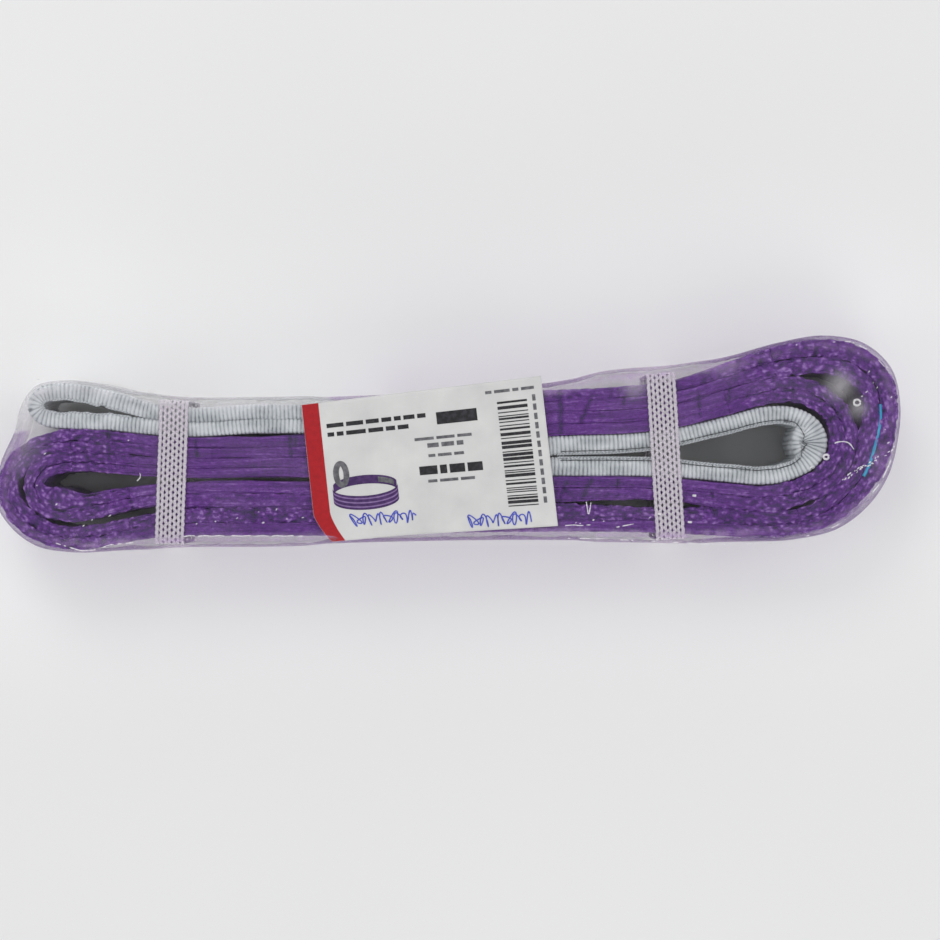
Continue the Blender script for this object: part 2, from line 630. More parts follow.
def upright_profile(top_steps, side_steps, bottom_steps, squareness):
    """A rounded upright section, anticlockwise from the left side's top: across from -1 to 1, which end
    it belongs to, how far round that end it is, and its outward direction."""
    rows = []
    for end, steps in ((1.0, top_steps), (-1.0, bottom_steps)):
        for i in range(steps + 1):
            a = math.pi * i / steps
            across = math.copysign(abs(math.cos(a)) ** squareness, math.cos(a))
            rows.append((end * across, end, math.sin(a) ** 0.8, end * math.cos(a), end * math.sin(a)))
        for i in range(1, side_steps):
            rows.append((-end, end - end * 2.0 * i / side_steps, 0.0, -end, 0.0))
    return np.array(rows).T


def upright_rings(
    strip, profile, relief_of, left_more=0.0, right_more=0.0, rise=0.0, edge=EDGE_ROUND, folds=CREASES
):
    """Rings of an upright section along a strip. relief_of takes run and girth and gives how far the
    surface stands out; left_more and right_more thicken one side, and rise lifts the top, per station."""
    across, level, round_up, out_across, out_up = profile
    on_top = level == 1
    rounding = np.sign(level) * (np.abs(level) == 1) * round_up * edge
    z = (strip.low + strip.high) / 2 + level * ((strip.high - strip.low) / 2 - edge) + rounding
    side = across * strip.half[:, None]
    side = side + np.clip(across, 0, 1) * np.reshape(left_more, (-1, 1))
    side = side + np.clip(across, -1, 0) * np.reshape(right_more, (-1, 1))
    z = np.broadcast_to(z + np.reshape(rise, (-1, 1)) * on_top, side.shape)
    steps = np.hypot(np.diff(side.mean(axis=0)), np.diff(z.mean(axis=0)))
    girth = np.broadcast_to(np.concatenate([[0], np.cumsum(steps)]), side.shape)
    relief = relief_of(np.broadcast_to(strip.run[:, None], side.shape), girth, level)
    side = side + relief * out_across
    fold = creased(strip.plan(side), folds) * on_top
    rings = strip.rings(side, z + (relief - 0.4 * fold) * out_up)
    return rings, girth, relief - 0.45 * fold


# ---------------------------------------------------------------- webbing
def knotted(strip, least=0.0):
    """How strongly the selvage yarns stand out as knots at each station: fully in the lobes."""
    x = strip.middle[:, 0]
    lobe = np.maximum(np.clip((-94 - x) / 22, 0, 1), np.clip((x - 88) / 26, 0, 1))
    return np.clip(0.95 * lobe + least, 0, 1)[:, None]


def webbing_relief(strength):
    """Knotted selvage yarns over lengthwise streaks and a faint weave."""

    def relief(run, girth, level):
        end = (np.abs(level) == 1).astype(float)
        ridge = 1 - 2 * np.abs(KNOT(run / 2.3 + 0.35 * girth, girth / 1.25))
        lump = LUMP(run / 1.1, girth / 0.85)
        streak = STREAK(run / 11.0, girth / 0.5)
        knots = strength * (0.34 * ridge + 0.26 * lump - 0.05)
        warp = 0.05 * np.cos(2 * math.pi * girth / WARP_PITCH)
        weft = 0.03 * np.cos(2 * math.pi * run / WEFT_PITCH)
        return end * (knots + 0.2 * streak) + (1 - end) * (warp + weft + 0.04 * streak)

    return relief


def ply(node, toward, start, walls):
    """One ply of one stretch of the rolled webbing, swollen to lie against its neighbours."""
    strip = wall_strip(node, toward, PLY_STEP, start)
    from_end = np.minimum(strip.run - strip.run[0], strip.end - strip.run)
    reach = USUAL_REACH + (REACH.get(node, USUAL_REACH) - USUAL_REACH) * np.clip(from_end / 14, 0, 1)
    room = np.array(side_room(node, strip, walls))
    swell = (room / 2 + 0.07) * np.clip((reach + 0.5 - room) / 0.5, 0, 1)
    outermost = node.endswith("outer_ply") and node.count("outer") == 2
    profile = upright_profile(16, 22 if outermost else 8, 8, 0.5)
    rise = 0.28 * SWAY(strip.run / 31.0, strip.middle[0, 1]) - 0.1
    rise[0] = rise[-1] = -0.1
    if node == "left_inner_turn_inner_ply":
        swell[0] = swell[0] + 2.9 * np.exp(-(((strip.run - strip.run.mean()) / 7) ** 4))
    strength = knotted(strip, KNOTTY.get(node, 0.0))
    rings, girth, relief = upright_rings(
        strip, profile, webbing_relief(strength), left_more=swell[0], right_more=swell[1], rise=rise
    )
    piece = loft(node + "_webbing", rings, WEBBING, strip.run, girth, relief, strength)
    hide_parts(node)
    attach(piece, "sling")
    return strip


def node_middle(node):
    low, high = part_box(node)
    return np.array([(low.x + high.x) / 2, (low.y + high.y) / 2]) / MM


def stitch(strip, i, side, height, long, radius, slant=0.0):
    """One stitch: a small rounded bar along the strip from station i, or none at the strip's very end."""
    j = min(int(np.searchsorted(strip.run, strip.run[i] + long)), len(strip.run) - 1)
    a = np.append(strip.middle[i] + side[i] * strip.left[i], height)
    b = np.append(strip.middle[j] + side[j] * strip.left[j], height + slant)
    size = np.linalg.norm(b - a)
    if size < 1e-6:
        return None
    along = (b - a) / size
    out = np.append(strip.left[i] * np.sign(side[i]), 0)
    turn = np.arange(6)[:, None] * math.pi / 3
    section = np.cos(turn) * np.cross(along, out) + 0.55 * np.sin(turn) * out
    shape = ((0.0, 0.35), (0.1, 0.8), (0.5, 1.0), (0.9, 0.8), (1.0, 0.35))
    return np.array([a + along * size * t + radius * r * (0.1 * out + section) for t, r in shape]) * MM


def bars(name, ring_sets, material):
    """Many small closed bars as one piece."""
    verts, faces, places = [], [], []
    for rings in ring_sets:
        if rings is None:
            continue
        n, k = rings.shape[:2]
        faces += capped(len(verts) + np.arange(n * k).reshape(n, k))
        verts.extend(rings.reshape(-1, 3))
        places.append(corner_places(np.arange(n)[:, None] * 0.7, np.arange(k + 1) * 0.3)[0])
        places.append(np.zeros((2 * k, 2)))
    piece = make_object(name, verts, faces, material)
    lay_cloth(piece, *places)
    return piece


def build_webbing():
    """Both plies along the whole route. Returns every ply's strip for the sewing."""
    strips = {}
    plies = [f"{run}_{kind}" for run in RUNS for kind in ("outer_ply", "inner_ply")]
    walls = {node: plan_outline(node) for node in plies + ["inner_eye_sleeve", "outer_eye_sleeve"]}
    for kind in ("outer_ply", "inner_ply"):
        start = 0.0
        for here, then in zip(RUNS, RUNS[1:] + ("",)):
            node = f"{here}_{kind}"
            toward = node_middle(f"{then}_{kind}" if then else "outer_eye_webbing")
            strips[node] = ply(node, toward, start, walls)
            start = strips[node].end
    return strips


def body_sewing(strips):
    """Lockstitch rows on the outer ply, and the denser blocks that close the eyes."""
    rows = []
    total = strips["upper_outer_run_outer_ply"].end
    blocks = {"inner_eye": (0.0, INNER_THROAT, []), "outer_eye": (total - OUTER_THROAT, total, [])}
    for name, strip in strips.items():
        outer = name.endswith("outer_ply")
        side = (-1 if outer else 1) * (strip.half + 0.02)
        for row, height in enumerate(STITCH_ROWS if outer else ()):
            first = strip.run[0] + (row % 2) * STITCH_PITCH / 2
            for s in np.arange(first, strip.end - STITCH_LONG, STITCH_PITCH):
                if INNER_THROAT + 1 < s < total - OUTER_THROAT - 1:
                    i = int(np.searchsorted(strip.run, s))
                    rows.append(stitch(strip, i, side, strip.low + height, STITCH_LONG, 0.5))
        for low, high, made in blocks.values():
            for row, height in enumerate(THROAT_ROWS):
                for s in np.arange(max(low, strip.run[0]) + 1, min(high, strip.end) - 3, THROAT_PITCH):
                    i = int(np.searchsorted(strip.run, s))
                    slant = 1.8 if (int(s / THROAT_PITCH) + row) % 2 else -1.8
                    start = strip.low + height - slant / 2
                    made.append(stitch(strip, i, side, start, THROAT_LONG, 0.45, slant))
    sewn = bars("body_lockstitch", rows, BODY_THREAD)
    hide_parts("body_seam_stitching")
    for eye, (low, high, made) in blocks.items():
        piece = bars(f"{eye}_throat_sewing", made, BODY_THREAD)
        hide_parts(f"{eye}_throat_stitching")
        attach(piece, "sling")
    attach(sewn, "sling")


# ---------------------------------------------------------------- eyes
def rib_relief(shift):
    """Cross ribs of the sleeve cloth, a little uneven, with a finer thread between them."""

    def relief(run, girth, level):
        drift = 0.5 * SWAY(run / 9.0 + shift, girth / 7.0) + 0.25 * SWAY(run / 2.5, girth / 2.0 + shift)
        rib = np.abs(np.sin(math.pi * (run / RIB_PITCH + 0.35 * drift))) ** 0.7 - 0.6
        fine = LUMP(run / 0.6, girth / 0.7)
        return 0.29 * rib + 0.045 * fine + 0.1 * STREAK(run / 6.0, girth / 2.5 + shift)

    return relief


def eye_web(eye):
    strip = wall_strip(f"{eye}_webbing", node_middle("paper_label"), PLY_STEP)
    strength = knotted(strip)
    rings, girth, relief = upright_rings(strip, upright_profile(10, 6, 6, 0.5), webbing_relief(strength))
    piece = loft(f"{eye}_single_ply", rings, WEBBING, strip.run, girth, relief, strength)
    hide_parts(f"{eye}_webbing")
    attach(piece, "sling")


def eye_sleeve(eye, bunch, bunch_reach, ragged, shut, shut_from):
    """The ribbed sleeve of an eye, bunched on the inside of the tip. The eye's opening lies on the side
    that the strip bends towards at the tip."""
    node = f"{eye}_sleeve"
    strip = wall_strip(node, node_middle("paper_label"), SLEEVE_STEP)
    run = strip.run
    tip = int(np.argmax(np.abs(strip.middle[:, 0])))
    tip_x = strip.middle[tip, 0]
    from_tip = np.abs(run - run[tip])
    heading = np.unwrap(np.arctan2(strip.left[:, 1], strip.left[:, 0]))
    inside = 1.0 if heading[-1] > heading[0] else -1.0
    pucker = 0.5 + 0.5 * np.cos(2 * math.pi * run / 3.4 + 1.3 * SWAY(run / 5.0, 0.0))
    swell = bunch * np.exp(-((from_tip / bunch_reach) ** 4)) * (0.55 + 0.45 * pucker)
    closing = shut * np.clip((from_tip - shut_from) / 16, 0, 1)
    uneven = 0.6 * SWAY(run / 4.5, 3.3) + 0.5 * SWAY(run / 1.9, 8.1)
    inner_more = swell + closing + ragged * np.exp(-(((from_tip - 19) / 13) ** 2)) * uneven
    more = {"left_more" if inside > 0 else "right_more": inner_more}
    more |= {"rise": 0.15 * SWAY(run / 17.0, tip_x), "edge": 1.9, "folds": SLEEVE_CREASES}
    rings, girth, relief = upright_rings(strip, upright_profile(20, 10, 8, 0.62), rib_relief(tip_x), **more)
    piece = loft(f"{eye}_ribbed_sleeve", rings, SLEEVE, run, girth, relief)
    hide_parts(node)
    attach(piece, "sling")
    return strip, inside, inner_more


def eye_hem(eye, strip, inside, inner_more):
    """Rolled hem bead along the inside of the eye near the top, and the inner eye's dark stitches."""
    hem = wall_strip(f"{eye}_sleeve_hem", node_middle("paper_label"), 0.5)
    ends = [int(np.argmin(np.linalg.norm(strip.middle - p, axis=1))) for p in (hem.middle[0], hem.middle[-1])]
    pick = slice(min(ends), max(ends))
    turn = np.arange(8) * math.pi / 4
    twist = 2 * math.pi * strip.run[:, None] / 1.1
    radius = HEM_RADIUS + 0.09 * np.sin(twist + turn)
    side = inside * (strip.half + inner_more - 0.15)[:, None] + inside * radius * np.cos(turn)
    height = strip.high - 0.95 + 0.2 * SWAY(strip.run / 5.0, 2.0)[:, None] + radius * np.sin(turn)
    rings = strip.rings(side, height)[pick]
    if inside < 0:
        rings = rings[:, ::-1]
    run = strip.run[pick]
    girth = np.broadcast_to(0.33 * np.arange(8), rings.shape[:2])
    relief = 0.1 * np.sin(twist[pick] + girth * 2.4)
    bead = loft(f"{eye}_hem_bead", rings, SLEEVE, run, girth, relief)
    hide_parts(f"{eye}_sleeve_hem")
    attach(bead, "sling")
    if eye == "outer_eye":
        return
    made = []
    stitch_side = inside * (strip.half + inner_more - 1.0)
    for s in np.arange(run[0] + 1, run[-1] - 2, 2.35):
        i = int(np.searchsorted(strip.run, s))
        made.append(stitch(strip, i, stitch_side, strip.high - 0.02, 2.2, 0.34))
    dark = bars(f"{eye}_hem_stitches", made, DARK_THREAD)
    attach(dark, "sling")


def gathered_cloth():
    """The sleeve's cloth gathered across the inside of the inner eye's tip."""
    y = np.arange(-7.6, 8.01, 0.24)
    middle = np.column_stack([117.6 - 0.9 * np.cos(y / 2.6) + 0.35 * SWAY(y / 1.7, 5.5) + 0.02 * y * y, y])
    ahead = np.gradient(middle, axis=0)
    ahead /= np.linalg.norm(ahead, axis=1)[:, None]
    half = (2.0 + 0.35 * SWAY(y / 1.3, 9.1))[:, None] * np.column_stack([-ahead[:, 1], ahead[:, 0]])
    strip = Strip(middle + half, middle - half, "inner_eye_sleeve")
    strip.low += 4
    strip.high -= 0.5
    more = {"rise": 0.3 * SWAY(y / 1.9, 2.2), "edge": 1.8, "folds": ()}
    rings, girth, relief = upright_rings(strip, upright_profile(16, 8, 6, 0.7), rib_relief(3.3), **more)
    piece = loft("inner_eye_gathered_cloth", rings, SLEEVE, strip.run, girth, relief)
    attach(piece, "sling")


def build_eyes():
    for eye, bunch, reach, ragged, shut, shut_from in (
        ("inner_eye", 3.6, 9.0, 0.35, 0.75, 46),
        ("outer_eye", 0.5, 6.0, 1.0, 0.3, 18),
    ):
        eye_web(eye)
        strip, inside, inner_more = eye_sleeve(eye, bunch, reach, ragged, shut, shut_from)
        eye_hem(eye, strip, inside, inner_more)
    gathered_cloth()


# ---------------------------------------------------------------- tag
def build_tag():
    """Flat tag on edge between the plies, cut square, with a slight wave."""
    node = "identification_tag"
    strip = wall_strip(node, node_middle("upper_outer_run_outer_ply"), 0.8)
    thick = strip.half * (1.2 + 0.5 * np.clip((strip.run - strip.run[0]) / strip.end, 0, 1))
    down = np.linspace(1, -1, 10)
    level = np.concatenate([down, down[::-1]])
    side = thick[:, None] * np.repeat([1, -1], 10) + 0.12 * np.sin(strip.run / 3.1)[:, None]
    rings = strip.rings(side, (strip.low + strip.high) / 2 + level * (strip.high - strip.low) / 2)
    girth = np.broadcast_to(np.linspace(0, 54, len(level)), rings.shape[:2])
    piece = loft("blue_identification_tag", rings[:, ::-1], TAG, strip.run, girth)
    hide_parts(node)
    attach(piece, "sling")


# ---------------------------------------------------------------- tie bands
def build_band(node, body):
    """Openwork elastic: strands that part and meet in turn, round the band's own rounded path."""
    verts = np.array([v.co[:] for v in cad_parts[node].data.vertices]) / MM
    low, high = verts.min(axis=0), verts.max(axis=0)
    upper = verts[verts[:, 1] > high[1] - 6][:, :2].mean(axis=0)
    lower = verts[verts[:, 1] < low[1] + 6][:, :2].mean(axis=0)
    across = (upper - lower) / np.linalg.norm(upper - lower)
    along = np.array([across[1], -across[0]])
    middle = (upper + lower) / 2
    local = (verts[:, :2] - middle) @ np.column_stack([along, across])
    pitch = np.ptp(local[:, 0]) / (BAND_STRANDS + 0.1)
    inset = BAND_THICK / 2 + BAND_CORNER
    near, far = local[:, 1].min() + inset, local[:, 1].max() - inset
    floor, roof = low[2] + inset, high[2] - inset
    path = []
    for y, z, start in ((far, roof, 0), (near, roof, 90), (near, floor, 180), (far, floor, 270)):
        path += arc_points(y, z, BAND_CORNER, BAND_CORNER, start, start + 90, 7)
    path = evenly(np.array(path + path[:1]), BAND_STEP)
    run = np.concatenate([[0], np.cumsum(np.linalg.norm(np.diff(path, axis=0), axis=1))])
    loops = round(run[-1] / BAND_LOOP / 2) * 2
    phase = (math.pi * loops * run / run[-1])[:-1]
    path, along_run, run = path[:-1], run[:, None], run[:-1]
    tangent = np.roll(path, -1, axis=0) - np.roll(path, 1, axis=0)
    tangent /= np.linalg.norm(tangent, axis=1)[:, None]
    outward = np.column_stack([tangent[:, 1], -tangent[:, 0]])
    turn = np.arange(6) * math.pi / 3
    bulge = 1 + 0.12 * np.sin(2 * math.pi * run[:, None] / 0.8 + np.arange(6))
    points, faces, places = [], [], []
    for strand in range(BAND_STRANDS):
        rim = strand in (0, BAND_STRANDS - 1)
        sway = (0.1 if rim else 0.23) * np.cos(phase * 2 + math.pi * strand)
        sway = sway + 0.05 * SWAY(run / 2.0, strand * 3.7)
        x = (strand - (BAND_STRANDS - 1) / 2) * pitch + sway[:, None] + 0.6 * bulge * np.cos(turn)
        out = 0.05 * np.sin(phase * 4 + strand)[:, None] + (0.3 if rim else 0.25) * bulge * np.sin(turn)
        y_z = path[:, None] + outward[:, None] * out[..., None]
        plan = middle + x[..., None] * along + y_z[..., :1] * across
        index = len(points) + np.arange(x.size).reshape(x.shape)
        faces += quads(closed(np.vstack([index, index[:1]])))
        points.extend((np.concatenate([plan, y_z[..., 1:]], axis=2) * MM).reshape(-1, 3))
        places.append(corner_places(along_run, 0.3 * np.arange(7))[0])
    piece = make_object(node.replace("tie_band", "knitted_elastic_band"), points, faces, ELASTIC)
    lay_cloth(piece, *places)
    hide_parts(node)
    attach(piece, body)


# ---------------------------------------------------------------- label
class Sheet:
    """The label's plane: u runs along its long side and v along its short side, in millimetres. Its low
    left corner is curled under and to the right."""

    def __init__(self):
        loop = plan_outline("paper_label")
        near = loop[np.argsort(loop[:, 1])]
        low_pair = near[:2][np.argsort(near[:2, 0])]
        high_pair = near[2:][np.argsort(near[2:, 0])]
        self.curl = np.array([5.1, -0.4])
        self.corners = [low_pair[0] - self.curl, low_pair[1], high_pair[1], high_pair[0]]
        self.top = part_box("paper_label")[1].z / MM

    def plan(self, u, v):
        a, b, c, d = self.corners
        curled = max(0.0, 1 - v / 10.0) ** 1.5 * max(0.0, 1 - u / 28.0)
        u, v = u / LABEL_LONG, v / LABEL_TALL
        flat = (1 - u) * (1 - v) * a + u * (1 - v) * b + u * v * c + (1 - u) * v * d
        return flat + curled * self.curl

    def lift(self, u, v):
        """Height of the paper's upper face: bowed over the roll, with soft creases."""
        bow = -0.3 * (2 * v / LABEL_TALL - 1) ** 2
        crease = 0.09 * math.sin(u / 9.0 + v / 14.0) + 0.07 * float(FOLD(u / 7.0, v / 11.0))
        corner = 0.05 * max(0.0, 5 - v) ** 2 * max(0.0, 1 - u / 8)
        return self.top + bow + crease - corner

    def point(self, u, v, above=0.0):
        x, y = self.plan(u, v)
        return (x * MM, y * MM, (self.lift(u, v) + above) * MM)


def build_label():
    sheet = Sheet()
    us = np.linspace(0, LABEL_LONG, 81)
    vs = np.linspace(0, LABEL_TALL, 51)
    verts = [sheet.point(u, v, above) for above in (0.0, -PAPER_THICK) for v in vs for u in us]
    index = np.arange(len(verts)).reshape(2, len(vs), len(us))
    turned = index[::-1]
    faces = quads(index[0]) + quads(index[1].T)
    faces += quads(turned[:, 0]) + quads(index[:, -1]) + quads(index[:, :, 0]) + quads(turned[:, :, -1])
    paper = make_object("printed_paper_label", verts, faces, PAPER)
    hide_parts("paper_label")
    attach(paper, "film")

    for layer, (name, (material, patches)) in enumerate(label_print().items()):
        piece = ink(sheet, name, material, patches, 0.03 + 0.012 * layer)
        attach(piece, "film")


def ink(sheet, name, material, patches, height):
    """Thin closed patches of ink: each patch is a list of left and right points of a ribbon."""
    verts, faces = [], []
    for left, right in patches:
        ribs = [(left, height), (right, height), (right, -0.03), (left, -0.03)]
        index = len(verts) + np.arange(4 * len(left)).reshape(4, -1)
        for side, above in ribs:
            verts.extend(sheet.point(u, v, above) for u, v in side)
        faces += capped(index.T)
    piece = make_object(name, verts, faces, material, smooth=False)
    bm = bmesh.new()
    bm.from_mesh(piece.data)
    bmesh.ops.recalc_face_normals(bm, faces=bm.faces)
    bm.to_mesh(piece.data)
    bm.free()
    return piece


def bar(u, v, long, tall):
    """A ribbon patch for an upright rectangle, from its low corner."""
    steps = max(2, int(long / 2) + 1)
    us = [u + long * k / (steps - 1) for k in range(steps)]
    return [(a, v + tall) for a in us], [(a, v) for a in us]


def stroke(points, wide):
    """A ribbon patch along hand drawn points."""
    p = np.array(points, float)
    t = np.gradient(p, axis=0)
    t /= np.linalg.norm(t, axis=1)[:, None]
    off = np.column_stack([-t[:, 1], t[:, 0]]) * wide / 2
    return [tuple(q) for q in p + off], [tuple(q) for q in p - off]


def edge_stripe(k):
    """One quarter of the printed stripe along the label's short side."""
    return stroke([(0.74 + 1.375 * k, 0.05 + 49.9 * j / 50) for j in range(51)], 1.375)


def upright_band(points, down, up):
    """A ribbon patch that stands on hand drawn points, like a band seen from the side."""
    return [(u, v + up) for u, v in points], [(u, v - down) for u, v in points]


def arc_points(cu, cv, ru, rv, a0, a1, n=18):
    angles = [math.radians(a0 + (a1 - a0) * k / (n - 1)) for k in range(n)]
    return [(cu + ru * math.cos(a), cv + rv * math.sin(a)) for a in angles]


def label_print():
    """Generic print: a margin stripe, ruled lines where text would be, plain bars and a sling pictogram."""
    rng = np.random.default_rng(5)
    grey, black, violet, pen = [], [], [], []
    for v, long, tall in ((40.5, 33, 1.5), (37.3, 27, 1.5)):
        black += dashes(rng, 7.5, v, long, tall)
    for v, start, long, tall in ((32.6, 36.0, 19.0, 1.0), (29.9, 40.0, 12.0, 1.5), (26.6, 40.0, 13.0, 1.0)):
        grey += dashes(rng, start, v, long, tall)
    black += dashes(rng, 36.5, 20.6, 21.0, 3.0)
    grey += dashes(rng, 39.0, 17.8, 15.5, 1.0)
    grey += dashes(rng, 61.0, 46.0, 16.5, 1.0)
    black.append(bar(44.0, 37.6, 13.5, 4.2))
    v = 7.5
    while v < 43.5:
        tall = float(rng.choice([0.35, 0.35, 0.7, 1.05]))
        black.append(bar(64.5, v, 10.0, tall))
        v += tall + float(rng.choice([0.35, 0.6, 0.9]))
    grey += [bar(76.3, 8.0 + 3.1 * k, 1.1, 2.1) for k in range(12)]
    back = arc_points(18.0, 17.6, 10.6, 3.2, 8, 172, 30)
    front = arc_points(18.0, 16.4, 10.8, 3.4, 178, 362, 30)
    violet.append(upright_band(back, 1.5, 1.6))
    violet.append(upright_band(front, 3.0, 2.0))
    pale = [upright_band(front, 0.35 - drop, 0.15 + drop) for drop in (-1.9, -0.4, 1.1)]
    grey_eye = [stroke(arc_points(10.6, 23.4, 1.7, 3.9, 0, 360, 30), 1.9)]
    grey_eye.append(upright_band(back[3:11], 0.9, 1.0))
    for first, last, base in ((11.5, 33.5, 6.6), (50.5, 71.5, 3.4)):
        turns = np.arange(0, (last - first) / 0.42, 0.28)
        u = first + 0.42 * turns + (0.75 + 0.5 * np.sin(0.23 * turns)) * np.sin(1.45 * turns)
        v = base + (1.6 + 0.7 * np.sin(0.57 * turns)) * np.cos(1.45 * turns + np.sin(0.5 * turns))
        pen.append(stroke(np.column_stack([u, v]), 0.42))
    return {
        "label_red_stripe": (RED_INK, [edge_stripe(k) for k in range(4)]),
        "label_black_print": (BLACK_INK, black),
        "label_grey_print": (GREY_INK, grey),
        "label_sling_pictogram": (VIOLET_INK, violet),
        "label_pictogram_lines": (PALE_INK, pale),
        "label_pictogram_eye": (GREY_INK, grey_eye),
        "label_pen_stroke": (PEN_INK, pen),
    }


def dashes(rng, u, v, long, tall):
    """A ruled line broken into word length dashes."""
    made = []
    end = u + long
    while u < end - 1:
        piece = min(float(rng.uniform(2.0, 6.5)), end - u)
        made.append(bar(u, v, piece, tall))
        u += piece + 0.9
    return made


# ---------------------------------------------------------------- film
def inset_loop(loop, distance):
    """A closed anticlockwise outline moved inwards, evened out so that it doesn't cross itself."""
    t = np.roll(loop, -1, axis=0) - np.roll(loop, 1, axis=0)
    t /= np.linalg.norm(t, axis=1)[:, None]
    return loop + np.column_stack([-t[:, 1], t[:, 0]]) * np.reshape(distance, (-1, 1))


def inside_loop(points, loop):
    """Which points lie inside a closed outline."""
    x, y = points[:, 0], points[:, 1]
    inside = np.zeros(len(points), bool)
    for (x1, y1), (x2, y2) in zip(loop, np.roll(loop, -1, axis=0)):
        crosses = (y1 > y) != (y2 > y)
        if crosses.any():
            inside ^= crosses & (x < (x2 - x1) * (y - y1) / (y2 - y1 + 1e-12) + x1)
    return inside


def film_top(points, rim_distance):
    """Height of the film over the roll: drawn down at both ends, with crinkles that run in from the rim."""
    x, y = points[:, 0], points[:, 1]
    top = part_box("film_top_sheet")[0].z / MM
    left = np.clip((-99 - x) / 14, 0, 1)
    right = np.clip((x - 84) / 14, 0, 1)
    drawn = np.maximum(left, right)
    calm = 0.35 + 0.65 * drawn
    crumple = 1 - np.abs(KNOT(x / 6.5 + y / 23.0 + 50, y / 8.0 + 50))
    fine = 1 - np.abs(LUMP(x / 2.6 + 90, y / 3.1 + 90))
    long_fold = FOLD(x / 19.0 + 7, y / 5.5 + 11)
    height = calm * (0.5 * crumple**3 + 0.28 * fine**3 + 0.22 * long_fold)
    edge = np.clip(1 - rim_distance / 9.0, 0, 1)
    return top - 0.3 - 0.5 * drawn + height * (0.7 + 0.5 * edge)


def film_bloom(plan, rim_distance):
    """Where the film is milky: round the free eye's tip, over the gap in the right lobe, and at the rim."""
    bloom = np.zeros(len(plan))
    for x, y, reach, much in BLOOMS:
        bloom = np.maximum(bloom, much * np.exp(-(((plan - (x, y)) ** 2).sum(axis=1)) / reach**2))
    rim = np.clip(1 - rim_distance / 2.6, 0, 1)
    patchy = 0.5 + 0.5 * LUMP(plan[:, 0] / 2.1, plan[:, 1] / 1.7)
    streaky = 0.03 * np.clip(STREAK(plan[:, 0] / 12.0 + 3, plan[:, 1] / 4.0), 0, 1)
    return np.clip(bloom * (0.6 + 0.4 * patchy) + 0.7 * rim * patchy + streaky, 0, 1)


def film_marks(plan, z_plan):
    """White marks in the film: folded ridges, the rims of two vent holes, and bright crumbs of a crease."""
    rng = np.random.default_rng(8)
    rings = []

    def tube(points, radius, uneven):
        points = np.array(points, float)
        near = [int(np.argmin(((plan - p) ** 2).sum(axis=1))) for p in points]
        line = np.column_stack([points, z_plan[near] + 0.06])
        ahead = np.gradient(line, axis=0)
        ahead /= np.linalg.norm(ahead, axis=1)[:, None]
        side = np.column_stack([-ahead[:, 1], ahead[:, 0], np.zeros(len(line))])
        side /= np.linalg.norm(side, axis=1)[:, None]
        thick = radius * (1 + uneven * rng.uniform(-1, 1, len(line)))
        thick[[0, -1]] *= 0.35
        angles = (np.arange(6) * math.pi / 3)[None, :, None]
        section = np.cos(angles) * side[:, None] + 0.5 * np.sin(angles) * np.array([0, 0, 1.0])
        rings.append((line[:, None] + section * thick[:, None, None]) * MM)

    for path, radius, broken in RIDGES:
        line = smoothed(evenly(np.array(path), 0.3), 4)
        lit = LUMP(np.arange(len(line)) / 2.5, radius * 90) > broken
        begin = 0
        for i in range(1, len(line) + 1):
            if i == len(line) or lit[i] != lit[begin]:
                if lit[begin] and i - begin > 3:
                    tube(line[begin:i], radius, 0.4)
                begin = i
    for x, y, radius in VENTS:
        tube(arc_points(x, y, radius, radius * 0.9, 0, 360, 26), 0.36, 0.15)
    crumbs = [(131.2 + 17.3 * t, -12.0 + 10.5 * t + rng.uniform(-0.8, 0.8)) for t in rng.uniform(0, 1, 34)]
    for x, y in crumbs + list(CRUMBS):
        turn = rng.uniform(0.2, 1.1)
        reach = rng.uniform(0.18, 0.55)
        ends = [(x + k * reach * math.cos(turn), y + k * reach * math.sin(turn)) for k in (-1, -0.4, 0.4, 1)]
        tube(ends, rng.uniform(0.1, 0.26), 0.2)
    for x, y, long, wide in KNOTS:
        tube([(x + long * t, y - 0.1 * t) for t in (-0.5, -0.38, -0.1, 0.2, 0.4, 0.5)], wide / 2, 0.12)
    piece = bars("film_crease_marks", rings, FILM_EDGE)
    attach(piece, "film")


def film_rows(outline, low, high):
    """Rings of the film from the table up and over the roll's rim: drawn in to the roll's side except
    beside the bands, and pleated."""
    run = np.arange(len(outline)) * FILM_STEP
    beside = [np.clip(1 - (np.abs(outline[:, 0] - middle) - reach) / 8, 0, 1) for middle, reach in SLACK]
    hug = 1 - np.maximum(*beside)
    rows = []
    for level in np.linspace(0, 1, 16):
        pleat = 0.35 * FOLD(run / 4.5, level * 2.2) + 0.25 * KNOT(run / 1.9, level * 5.0)
        tuck = 0.25 + (0.5 + 0.7 * hug) * math.sin(math.pi * level) ** 2 + 0.5 * hug * level
        tuck = tuck + pleat * math.sin(math.pi * min(level * 1.4, 1.0))
        rows.append((inset_loop(outline, tuck), low + (high - FILM_ROUND - low) * level))
    for a in (22, 45, 68, 86):
        q = math.radians(a)
        tuck = 0.25 + 0.5 * hug + FILM_ROUND * (1 - math.cos(q))
        rows.append((inset_loop(outline, tuck), high - FILM_ROUND * (1 - math.sin(q)) - 0.1))
    return rows


